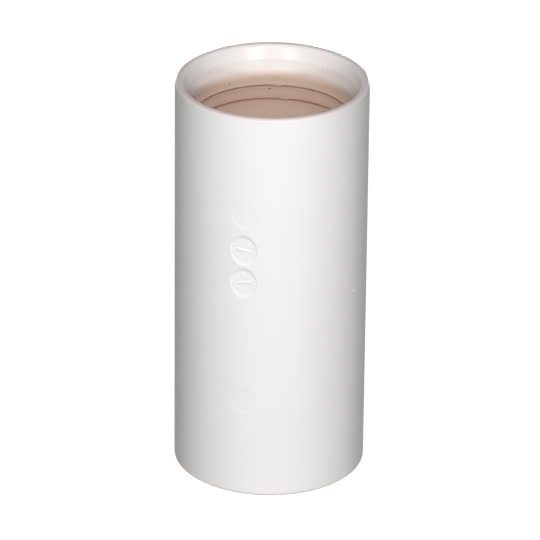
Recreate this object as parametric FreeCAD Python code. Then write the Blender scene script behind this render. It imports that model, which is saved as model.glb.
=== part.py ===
import FreeCAD, Part
import math
import os

# Double socket coupling for plain pipe
# One moulded plastic tube with a socket at each end and a pipe stop half way.
# Lengths are in millimetres and angles in degrees. The axis is Z, the origin is the centre
# of the lower end face, and the mould marks are on the -Y side.

# Sockets and wall
pipe_diameter = 20.0
socket_clearance = 0.2      # radial gap between the pipe and the plain wall of the socket
wall_thickness = 2.0        # at the plain wall of the socket
socket_depth = 25.25        # how far the pipe goes in
stop_width = 2.0            # along the axis
stop_height = 0.9           # above the socket's wall

# Rim and lead-in of each mouth
outer_edge_radius = 0.35
outer_edge_flats = 3        # narrow flats that round the outer edge
land_width = 0.2            # flat ring that the coupling stands on
mouth_edge_radius = 0.6
mouth_angle = 17.5          # of the lead-in cone, from the axis
throat_depth = 1.8          # where the lead-in cone ends and the slower taper begins

# Moulded lips inside each mouth
lip_grip = 0.04             # the lips are this much smaller in radius than the pipe
entry_lip_depth = 5.05
lip_spacing = 1.81
inner_lip_ramp = 1.1        # length of the slope that leads up to the second lip
lip_back = 0.12             # length of the steep slope behind each lip
groove_depth = 0.09         # groove behind each lip, below the socket's plain wall
groove_width = 0.3

# Small tab under each lip, where the moulding core splits
tab_drop = 0.2
tab_sweep = 6.0
tab_root = 0.4              # how far a tab is rooted in the wall
entry_tab_angle = 101.6
inner_tab_angle = 97.1

# Round mould marks, in a column on the -Y side
dial_diameter = 3.2         # of a dial's floor
first_dial_offset = 3.66    # from the middle of the coupling up to the lower dial
dial_gap = 1.27             # between the floors of the two dials
dial_side_depth = 0.06      # a dial's floor is flat, so it is shallowest at its sides
dial_flank_angle = 73.0     # of a dial's sloping edge, from the dial's own axis
blank_mark_diameter = 2.95  # of a blank mark's floor, which follows the outer wall
blank_mark_gap = 1.595      # from the upper dial's floor to that of the blank mark above it
blank_mark_depth = 0.035
blank_mark_bevel_depth = 0.03
blank_mark_bevel_width = 0.25

# Raised scale and rotor line on a dial's floor
tick_count = 12
tick_height = 0.05
tick_length = 0.22
tick_width = 0.13
tick_rim_gap = 0.15         # from the ticks to the floor's edge
rotor_gap = 0.1             # from the ticks to the line round the rotor
rotor_line_width = 0.1
rotor_line_height = 0.03

# Raised pointer on a dial's floor, a bar with sloping sides that narrows from its head to its tail
pointer_angles = (10.4, 173.5)          # lower dial, upper dial, anticlockwise from level
pointer_height = 0.08
pointer_gap = 0.18          # from the pointer's head to the outside of the rotor line
pointer_length = 1.9
pointer_head_width = 0.28   # across the flat top
pointer_tail_width = 0.12
pointer_side_angle = 40.0   # from the floor

# Scar of the injection gate, half way up
gate_angle = 76.0           # round from the marks, anticlockwise seen from above
gate_dish_diameter = 0.9
gate_dish_depth = 0.06
gate_stub_diameter = 0.4
gate_stub_height = 0.08     # above the floor of the dish

# Sizes that follow from the ones above
pipe_radius = pipe_diameter / 2
socket_radius = pipe_radius + socket_clearance
body_radius = socket_radius + wall_thickness
body_length = 2 * socket_depth + stop_width
middle_height = body_length / 2
stop_radius = socket_radius - stop_height
lip_radius = pipe_radius - lip_grip
inner_lip_depth = entry_lip_depth + lip_spacing
dial_radius = dial_diameter / 2
blank_mark_radius = blank_mark_diameter / 2
dial_sag = body_radius - math.sqrt(body_radius**2 - dial_radius**2)
dial_floor_depth = dial_side_depth + dial_sag
dial_offsets = (first_dial_offset, first_dial_offset + dial_diameter + dial_gap)
blank_mark_offset = dial_offsets[1] + dial_radius + blank_mark_gap + blank_mark_radius
tick_outer_radius = dial_radius - tick_rim_gap
tick_inner_radius = tick_outer_radius - tick_length
rotor_radius = tick_inner_radius - rotor_gap
axis_direction = FreeCAD.Vector(0, 0, 1)
marks_direction = FreeCAD.Vector(0, -1, 0)


def section_edges(facing):
    """Edges of the wall's section round one end, from the outer wall over the rim to the pipe stop.

    facing is 1 for the upper end and -1 for the lower one.
    """

    def at(radius, depth):
        return FreeCAD.Vector(radius, 0, middle_height + facing * (middle_height - depth))

    def corner(centre_radius, centre_depth, edge_radius, angle):
        lean = math.radians(angle)
        return at(
            centre_radius + edge_radius * math.cos(lean),
            centre_depth - edge_radius * math.sin(lean),
        )

    def lip_points(lip_depth):
        groove_start = lip_depth + lip_back
        groove_end = groove_start + groove_width
        return [
            at(lip_radius, lip_depth),
            at(socket_radius + groove_depth, groove_start),
            at(socket_radius + groove_depth, groove_end),
            at(socket_radius, groove_end + groove_depth),
        ]

    land_outer_radius = body_radius - outer_edge_radius
    land_inner_radius = land_outer_radius - land_width
    outer_corner = (land_outer_radius, outer_edge_radius, outer_edge_radius)
    outer_points = [
        corner(*outer_corner, 90 * number / outer_edge_flats) for number in range(outer_edge_flats + 1)
    ]
    mouth_corner = (land_inner_radius, mouth_edge_radius, mouth_edge_radius)
    cone_side = 180 - mouth_angle
    cone_top = corner(*mouth_corner, cone_side)
    cone_top_depth = mouth_edge_radius * (1 - math.sin(math.radians(mouth_angle)))
    cone_run = (throat_depth - cone_top_depth) * math.tan(math.radians(mouth_angle))
    throat_radius = cone_top.x - cone_run

    bore_points = [
        cone_top,
        at(throat_radius, throat_depth),
        *lip_points(entry_lip_depth),
        at(socket_radius, inner_lip_depth - inner_lip_ramp),
        *lip_points(inner_lip_depth),
        at(socket_radius, socket_depth),
        at(stop_radius, socket_depth),
    ]
    mouth_arc = Part.Arc(
        corner(*mouth_corner, 90),
        corner(*mouth_corner, (90 + cone_side) / 2),
        cone_top,
    )
    edges = [mouth_arc.toShape()]
    for points in (outer_points + [at(land_inner_radius, 0)], bore_points):
        for start, end in zip(points, points[1:]):
            edges.append(Part.LineSegment(start, end).toShape())
    return edges


def turned_body():
    """The tube as one turned section: outer wall, two mouths, two sockets and the stop."""
    upper = section_edges(1)
    lower = section_edges(-1)
    outer_wall = Part.LineSegment(
        FreeCAD.Vector(body_radius, 0, outer_edge_radius),
        FreeCAD.Vector(body_radius, 0, body_length - outer_edge_radius),
    ).toShape()
    stop_crest = Part.LineSegment(
        FreeCAD.Vector(stop_radius, 0, socket_depth),
        FreeCAD.Vector(stop_radius, 0, socket_depth + stop_width),
    ).toShape()
    wire = Part.Wire(Part.__sortEdges__([outer_wall, stop_crest] + upper + lower))
    return Part.Face(wire).revolve(FreeCAD.Vector(), axis_direction, 360)


def lip_tab(facing, lip_depth, angle):
    """Small tab that carries a lip's edge a little deeper over a few degrees."""
    section = [
        (lip_radius, lip_depth),
        (lip_radius, lip_depth + tab_drop),
        (socket_radius, lip_depth + tab_drop + lip_back),
        (socket_radius + tab_root, lip_depth + tab_drop + lip_back),
        (socket_radius + tab_root, lip_depth),
    ]
    points = [
        FreeCAD.Vector(radius, 0, middle_height + facing * (middle_height - depth))
        for radius, depth in section
    ]
    face = Part.Face(Part.makePolygon(points + points[:1]))
    face.rotate(FreeCAD.Vector(), axis_direction, angle - tab_sweep / 2)
    return face.revolve(FreeCAD.Vector(), axis_direction, tab_sweep)


def outward_rod(radius, height, floor_depth, length):
    """Round rod on the -Y side that starts floor_depth inside the outer wall and points outwards."""
    start = FreeCAD.Vector(0, floor_depth - body_radius, height)
    return Part.makeCylinder(radius, length, start, marks_direction)


def dial_recess(height):
    """Cutter for a dial's flat floor and the sloping edge round it."""
    start = FreeCAD.Vector(0, dial_floor_depth - body_radius, height)
    rise = 2 * dial_floor_depth
    top_radius = dial_radius + rise * math.tan(math.radians(dial_flank_angle))
    return Part.makeCone(dial_radius, top_radius, rise, start, marks_direction)


def dial_detail(height):
    """Raised ticks and rotor line, as pieces that stand on a dial's floor."""
    centre = FreeCAD.Vector(0, dial_floor_depth - body_radius, height)
    line = Part.makeCylinder(rotor_radius, rotor_line_height, centre, marks_direction)
    pieces = [
        line.cut(
            Part.makeCylinder(
                rotor_radius - rotor_line_width, rotor_line_height, centre, marks_direction
            )
        )
    ]
    corner = centre + FreeCAD.Vector(tick_inner_radius, -tick_height, -tick_width / 2)
    for number in range(tick_count):
        tick = Part.makeBox(tick_length, tick_height, tick_width, corner)
        tick.rotate(centre, marks_direction, number * 360 / tick_count)
        pieces.append(tick)
    return pieces


def dial_pointer(height, angle):
    """Raised pointer, as a piece that stands on a dial's floor."""
    centre = FreeCAD.Vector(0, dial_floor_depth - body_radius, height)
    side_run = pointer_height / math.tan(math.radians(pointer_side_angle))

    def section(along, top_width):
        half_top = top_width / 2
        half_foot = half_top + side_run
        points = [
            centre + FreeCAD.Vector(along, 0, -half_foot),
            centre + FreeCAD.Vector(along, 0, half_foot),
            centre + FreeCAD.Vector(along, -pointer_height, half_top),
            centre + FreeCAD.Vector(along, -pointer_height, -half_top),
        ]
        return Part.makePolygon(points + points[:1])

    head = rotor_radius - pointer_gap
    bar = Part.makeLoft(
        [section(head, pointer_head_width), section(head - pointer_length, pointer_tail_width)],
        True,
        True,
    )
    bar.rotate(centre, marks_direction, angle)
    return bar


def add_dials(body):
    """Sinks each date dial into the outer wall, with its raised scale and pointer."""
    for offset, pointer_angle in zip(dial_offsets, pointer_angles):
        height = middle_height + offset
        raised = dial_detail(height) + [dial_pointer(height, pointer_angle)]
        body = body.cut(dial_recess(height)).fuse(raised)
    return body


def bevel_mark_rim(body, height):
    """Bevels the edge where the blank mark at this height meets the outer wall."""
    centre = FreeCAD.Vector(0, -body_radius, height)
    rim = [
        edge
        for edge in body.Edges
        if (edge.BoundBox.Center - centre).Length < blank_mark_radius / 2
        and abs(edge.BoundBox.YMin + body_radius) < blank_mark_depth / 2
    ]
    return body.makeChamfer(blank_mark_bevel_width, blank_mark_bevel_depth, rim)


def add_blank_marks(body):
    """Shallow round marks that follow the outer wall, one near each end of the column."""
    skin_height = 2 * blank_mark_diameter
    for offset in (-blank_mark_offset, blank_mark_offset):
        height = middle_height + offset
        foot = FreeCAD.Vector(0, 0, height - skin_height / 2)
        floor = Part.makeCylinder(body_radius - blank_mark_depth, skin_height, foot)
        disc = outward_rod(blank_mark_radius, height, wall_thickness, 2 * wall_thickness).cut(floor)
        body = bevel_mark_rim(body.cut(disc), height)
    return body


def add_gate_scar(body):
    """Shallow dish with the broken-off stub of the gate in it."""
    half_width = gate_dish_diameter / 2
    ball_radius = (half_width**2 + gate_dish_depth**2) / (2 * gate_dish_depth)
    dish = Part.makeSphere(
        ball_radius, FreeCAD.Vector(0, gate_dish_depth - body_radius - ball_radius, middle_height)
    )
    stub_length = gate_dish_depth + gate_stub_height
    stub = outward_rod(gate_stub_diameter / 2, middle_height, 2 * gate_dish_depth, stub_length)
    for shape in (dish, stub):
        shape.rotate(FreeCAD.Vector(), axis_direction, gate_angle)
    return body.cut(dish).fuse(stub)


def coupling_body():
    """The whole moulding."""
    body = turned_body()
    for facing in (1, -1):
        body = body.fuse(
            [
                lip_tab(facing, entry_lip_depth, entry_tab_angle),
                lip_tab(facing, inner_lip_depth, inner_tab_angle),
            ]
        )
    body = add_blank_marks(body)
    body = add_dials(body)
    body = add_gate_scar(body)
    return body.removeSplitter()


os.makedirs("parts", exist_ok=True)
body = coupling_body()
print("coupling_body valid", body.isValid(), "solids", len(body.Solids), "volume", round(body.Volume, 2))
body.exportStep("parts/coupling_body.step")
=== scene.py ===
import math

import bpy
from mathutils import Euler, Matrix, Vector


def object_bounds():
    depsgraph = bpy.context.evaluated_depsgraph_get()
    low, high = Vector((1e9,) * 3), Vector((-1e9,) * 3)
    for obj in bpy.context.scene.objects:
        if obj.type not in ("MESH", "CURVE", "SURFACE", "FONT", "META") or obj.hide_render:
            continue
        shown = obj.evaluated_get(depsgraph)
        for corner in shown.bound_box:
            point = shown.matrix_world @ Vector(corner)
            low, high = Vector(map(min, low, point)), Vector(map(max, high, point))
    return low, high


# Double socket coupling: a white moulded tube standing on end on a pale floor.
# Lengths are in metres. The coupling's axis is Z, and the round mould marks face -Y.

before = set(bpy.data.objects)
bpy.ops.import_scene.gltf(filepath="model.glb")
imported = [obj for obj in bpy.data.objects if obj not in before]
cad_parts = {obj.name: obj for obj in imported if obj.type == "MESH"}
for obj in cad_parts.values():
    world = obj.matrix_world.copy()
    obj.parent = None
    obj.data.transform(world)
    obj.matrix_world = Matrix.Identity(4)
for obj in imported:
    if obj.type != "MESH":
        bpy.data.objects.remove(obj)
cad_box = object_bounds()
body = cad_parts["coupling_body"]

MM = 0.001
body_radius = (cad_box[1][0] - cad_box[0][0]) / 2
body_length = cad_box[1][2] - cad_box[0][2]
mouth_radius = body_radius - 0.55 * MM  # where the flat end ring meets the mouth
socket_radius = 10.2 * MM
top = Vector((0, 0, body_length))
middle = top / 2

# Camera. Its azimuth is measured round from the mould marks towards +X. Angles are in degrees, and
# the distance is from the tube's middle.
view_azimuth = 16.0
view_elevation = 25.9
view_distance = 0.6436
view_roll = 0.574
frame_pixels = 540
focal_pixels = 5061.0
content_right = 0.52  # pixels from the picture's centre to the tube's middle
content_up = 1.19


def direction(azimuth, elevation):
    """Unit vector to a place round the tube. Azimuth runs rightwards from the camera's side."""
    turn = math.radians(view_azimuth + azimuth)
    rise = math.radians(elevation)
    return Vector(
        (math.sin(turn) * math.cos(rise), -math.cos(turn) * math.cos(rise), math.sin(rise))
    )


def look_at(thing, target, roll=0.0):
    """Turns a camera or lamp at its place so that its -Z axis points at the target."""
    facing = (target - thing.location).to_track_quat("-Z", "Y").to_matrix()
    rolled = Euler((0, 0, math.radians(roll))).to_matrix()
    thing.rotation_euler = (facing @ rolled).to_euler()


camera_data = bpy.data.cameras.new("camera")
camera_data.sensor_width = 36.0
camera_data.lens = focal_pixels / frame_pixels * camera_data.sensor_width
camera_data.shift_x = -content_right / frame_pixels
camera_data.shift_y = -content_up / frame_pixels
camera_data.clip_start = 0.01
camera = bpy.data.objects.new("camera", camera_data)
bpy.context.scene.collection.objects.link(camera)
camera.location = middle + direction(0, view_elevation) * view_distance
look_at(camera, middle, view_roll)
bpy.context.scene.camera = camera


class Nodes:
    """Short names for the shader nodes that the materials are made of."""

    def __init__(self, owner):
        owner.use_nodes = True
        self.tree = owner.node_tree
        self.tree.nodes.clear()

    def add(self, kind, inputs=(), **settings):
        node = self.tree.nodes.new(kind)
        for name, value in settings.items():
            setattr(node, name, value)
        for name, value in dict(inputs).items():
            self.plug(node.inputs[name], value)
        return node

    def plug(self, socket, value):
        """Links a socket to another node's output, or sets it to a plain value."""
        if isinstance(value, bpy.types.NodeSocket):
            self.tree.links.new(value, socket)
        else:
            socket.default_value = value

    def math(self, operation, *values):
        node = self.add("ShaderNodeMath", operation=operation)
        for socket, value in zip(node.inputs, values):
            self.plug(socket, value)
        return node.outputs[0]

    def length(self, across, up):
        """Distance from the origin to a place in a plane."""
        squares = [self.math("MULTIPLY", side, side) for side in (across, up)]
        return self.math("SQRT", self.math("ADD", *squares))

    def smooth(self, value, start, end):
        """0 at start, 1 at end, with a soft step between them."""
        node = self.add(
            "ShaderNodeMapRange",
            {"Value": value, "From Min": start, "From Max": end},
            interpolation_type="SMOOTHSTEP",
        )
        return node.outputs["Result"]

    # A Mix node repeats the names of its sockets for each type of data, so numbers tell them apart

    def mix_value(self, share, low, high):
        node = self.add("ShaderNodeMix", {0: share, 2: low, 3: high}, data_type="FLOAT")
        return node.outputs[0]

    def mix_colour(self, share, low, high):
        node = self.add("ShaderNodeMix", {0: share, 6: low, 7: high}, data_type="RGBA")
        return node.outputs[2]

    def noise(self, place, scale, detail, roughness):
        node = self.add(
            "ShaderNodeTexNoise",
            {"Vector": place, "Scale": scale, "Detail": detail, "Roughness": roughness},
        )
        return node.outputs["Fac"]


def opaque(shade):
    return (*shade, 1.0)


def white_background_share(nodes):
    """1 for rays that should see plain white: from the camera, or by reflection or transmission."""
    path = nodes.add("ShaderNodeLightPath")
    seen = nodes.math("MAXIMUM", path.outputs["Is Camera Ray"], path.outputs["Is Glossy Ray"])
    return nodes.math("MAXIMUM", seen, path.outputs["Is Transmission Ray"])


# White plastic, a little translucent. Its thin rim has painted shade, darker and pinker than the
# wall, and the bore has painted shade and painted warm bounce light, warmer and darker with depth.
wall_shade = (0.914, 0.894, 0.884)
painted_rim_shade = (0.835, 0.712, 0.702)
dirt_shade = (0.10, 0.07, 0.05)

# Where the rim's and the bore's painted shades start and where they are full, with a soft step
# between. Depths are below the nearer mouth.
rim_radii = (body_radius + 0.01 * MM, body_radius - 0.08 * MM)
rim_depths = (1.0 * MM, 0.4 * MM)
bore_radii = (mouth_radius, mouth_radius - 0.4 * MM)

# Each painted shade holds at its own depth in mm, and they blend between
painted_bore_shades = (
    # Lead-in cone, with painted shade and a pink tint of painted warm light
    (0.0, (0.875, 0.832, 0.817)),
    (1.75, (0.875, 0.832, 0.817)),
    # Slow taper to the first lip; painted shade and warm bounce light turn it white to light brown
    (1.9, (0.840, 0.790, 0.772)),
    (2.8, (0.885, 0.810, 0.775)),
    (3.1, (0.888, 0.800, 0.742)),
    (3.3, (0.820, 0.728, 0.680)),
    (3.85, (0.838, 0.637, 0.530)),
    (4.35, (0.880, 0.640, 0.518)),
    # First lip with a painted lighter crest, and painted shade in the groove behind it
    (5.05, (0.950, 0.725, 0.600)),
    (5.22, (0.950, 0.680, 0.555)),
    (5.30, (0.690, 0.490, 0.395)),
    (5.50, (0.690, 0.490, 0.395)),
    # Ramp up to the second lip, with painted shade just above it
    (5.60, (0.825, 0.580, 0.468)),
    (6.35, (0.825, 0.580, 0.468)),
    (6.75, (0.740, 0.515, 0.412)),
    # Second lip with a painted lighter crest, and painted shade in the groove behind it
    (6.86, (0.950, 0.640, 0.520)),
    (7.03, (0.950, 0.640, 0.520)),
    (7.12, (0.620, 0.430, 0.350)),
    (7.32, (0.620, 0.430, 0.350)),
    # Plain wall down to the pipe stop, in painted warm shade that pales deep down
    (7.45, (0.885, 0.635, 0.522)),
    (8.3, (0.925, 0.670, 0.550)),
    (10.0, (0.910, 0.665, 0.545)),
    (16.0, (0.900, 0.800, 0.740)),
)
bore_shades_end = 20.0  # the colour ramp's length in mm, a little past the last shade

# Dirt in the upper mouth. Each speck has its angle round from the marks in degrees, its height and
# its reach round and up in mm, and how dark it is.
specks = (
    (197.9, 46.78, 0.20, 0.09, 0.85),
    (198.5, 46.30, 0.05, 0.05, 0.50),
    (228.6, 48.03, 0.09, 0.08, 0.85),
    (268.8, 48.64, 0.24, 0.11, 0.85),
    (261.5, 48.40, 0.20, 0.06, 0.60),
    (165.8, 47.30, 0.06, 0.34, 0.50),
    (164.8, 47.42, 0.50, 0.03, 0.30),
    (158.3, 50.30, 0.04, 0.42, 0.22),
    (155.2, 50.55, 0.04, 0.18, 0.18),
)
speck_edge = (1.3, 0.6)  # where a speck starts and where it is full, in multiples of its reach

wall_roughness = 0.7
gloss_roughness = 0.27  # of the rim and the bore
cloudiness = 0.03  # how far the brightness drifts from place to place


def speck_mask(nodes, x, y, z):
    """How dark the dirt is at a place: 0 where there is none."""
    around = nodes.math("ARCTAN2", x, nodes.math("MULTIPLY", y, -1.0))
    total = 0.0
    for angle, height, reach_round, reach_up, darkness in specks:
        turn = math.radians(angle if angle < 180 else angle - 360)
        reach_turn = reach_round * MM / socket_radius
        sideways = nodes.math("DIVIDE", nodes.math("SUBTRACT", around, turn), reach_turn)
        upward = nodes.math("DIVIDE", nodes.math("SUBTRACT", z, height * MM), reach_up * MM)
        cover = nodes.smooth(nodes.length(sideways, upward), *speck_edge)
        total = nodes.math("MAXIMUM", total, nodes.math("MULTIPLY", cover, darkness))
    return total


def bore_painted_shade(nodes, depth):
    """The plastic's painted shade and warm bounce light inside, by depth below the nearer mouth."""
    along_ramp = nodes.math("DIVIDE", depth, bore_shades_end * MM)
    ramp = nodes.add("ShaderNodeValToRGB", {"Fac": along_ramp})
    stops = ramp.color_ramp.elements
    stops.remove(stops[1])
    for shade_depth, shade in painted_bore_shades:
        stop = stops.new(shade_depth / bore_shades_end) if shade_depth else stops[0]
        stop.color = opaque(shade)
    return ramp.outputs["Color"]


def moulded_plastic():
    """Satin on the outer wall, glossier on the rim and in the bore, with a fine moulded grain."""
    material = bpy.data.materials.new("moulded_white_plastic")
    nodes = Nodes(material)
    place = nodes.add("ShaderNodeTexCoord").outputs["Object"]
    x, y, z = nodes.add("ShaderNodeSeparateXYZ", {"Vector": place}).outputs
    radius = nodes.length(x, y)
    depth = nodes.math("MINIMUM", z, nodes.math("SUBTRACT", body_length, z))
    near_end = nodes.smooth(depth, *rim_depths)
    on_rim = nodes.math("MULTIPLY", nodes.smooth(radius, *rim_radii), near_end)
    inside = nodes.smooth(radius, *bore_radii)

    # Painted shade on the rim, darker and pinker than the wall
    colour = nodes.mix_colour(on_rim, opaque(wall_shade), opaque(painted_rim_shade))
    # Painted shade and painted warm bounce light in the bore
    colour = nodes.mix_colour(inside, colour, bore_painted_shade(nodes, depth))
    dirt = nodes.math("MULTIPLY", speck_mask(nodes, x, y, z), inside)
    colour = nodes.mix_colour(dirt, colour, opaque(dirt_shade))
    cloud = nodes.noise(place, scale=160.0, detail=3.0, roughness=0.5)
    from_mean = nodes.math("SUBTRACT", cloud, 0.5)
    brightness = nodes.math("MULTIPLY_ADD", from_mean, cloudiness, 1.0)
    colour = nodes.add("ShaderNodeVectorMath", {0: colour, "Scale": brightness}, operation="SCALE")

    glossy = nodes.math("MAXIMUM", inside, on_rim)
    grain = nodes.noise(place, scale=2600.0, detail=2.0, roughness=0.6)
    bump = nodes.add("ShaderNodeBump", {"Height": grain, "Strength": 0.12, "Distance": 0.02 * MM})
    shader = nodes.add(
        "ShaderNodeBsdfPrincipled",
        {
            "Base Color": colour.outputs[0],
            "Roughness": nodes.mix_value(glossy, wall_roughness, gloss_roughness),
            "Normal": bump.outputs["Normal"],
            "Specular IOR Level": 0.22,
        },
    )
    nodes.add("ShaderNodeOutputMaterial", {"Surface": shader.outputs[0]})
    return material


body.data.materials.clear()
body.data.materials.append(moulded_plastic())

floor_shade = (0.25, 0.25, 0.25)
floor_glow = 0.95


def pale_floor():
    """White by its own glow where it is seen, and dim otherwise, so that little light bounces."""
    material = bpy.data.materials.new("pale_floor")
    nodes = Nodes(material)
    diffuse = nodes.add("ShaderNodeBsdfDiffuse", {"Color": opaque(floor_shade)})
    strength = nodes.math("MULTIPLY", white_background_share(nodes), floor_glow)
    glow = nodes.add("ShaderNodeEmission", {"Strength": strength})
    both = nodes.add("ShaderNodeAddShader", {0: diffuse.outputs[0], 1: glow.outputs[0]})
    nodes.add("ShaderNodeOutputMaterial", {"Surface": both.outputs[0]})
    return material


bpy.ops.mesh.primitive_plane_add(size=6.0, location=(0, 0, 0))
floor = bpy.context.object
floor.name = "floor"
floor.data.materials.append(pale_floor())

world = bpy.data.worlds.new("room")
bpy.context.scene.world = world
room = Nodes(world)
background = room.add(
    "ShaderNodeBackground", {"Color": (1, 1, 1, 1), "Strength": white_background_share(room)}
)
room.add("ShaderNodeOutputWorld", {"Surface": background.outputs[0]})

warm_white = (1.0, 0.98, 0.96)
cool_white = (0.96, 1.0, 1.0)


def softbox(name, place, away, spread, power, colour=(1, 1, 1)):
    """Rectangular studio lamp that faces the tube's upper end.

    As seen from there, place is its azimuth and elevation, away its distance, and spread the
    angles of its width and height. Angles are in degrees, and the power in watts.
    """
    data = bpy.data.lights.new(name, "AREA")
    data.shape = "RECTANGLE"
    data.size, data.size_y = (2 * away * math.tan(math.radians(angle / 2)) for angle in spread)
    data.energy = power
    data.color = colour
    lamp = bpy.data.objects.new(name, data)
    bpy.context.scene.collection.objects.link(lamp)
    lamp.location = top + direction(*place) * away
    look_at(lamp, top)


# Two low lamps light the wall, and the lead-in cone reflects them as two bright patches
softbox("left_lamp", place=(-22.7, 10.4), away=0.7, spread=(13, 2.4), power=1.09, colour=warm_white)
softbox("right_lamp", place=(22.3, 10.4), away=0.7, spread=(17, 2.4), power=1.455)

# Two high lamps light the rim and reach down into the bore
softbox("high_lamp", place=(0, 37), away=0.5, spread=(35, 16), power=1.49, colour=cool_white)
softbox("overhead_lamp", place=(0, 72), away=0.5, spread=(35, 35), power=0.12)

# Two lamps behind light the back of the wall, from too low down to shine on the rim
softbox("back_left_lamp", place=(-166, -4), away=0.3, spread=(20, 4), power=0.27)
softbox("back_right_lamp", place=(166, -4), away=0.3, spread=(20, 4), power=0.27)

bpy.context.scene.view_settings.view_transform = "Standard"
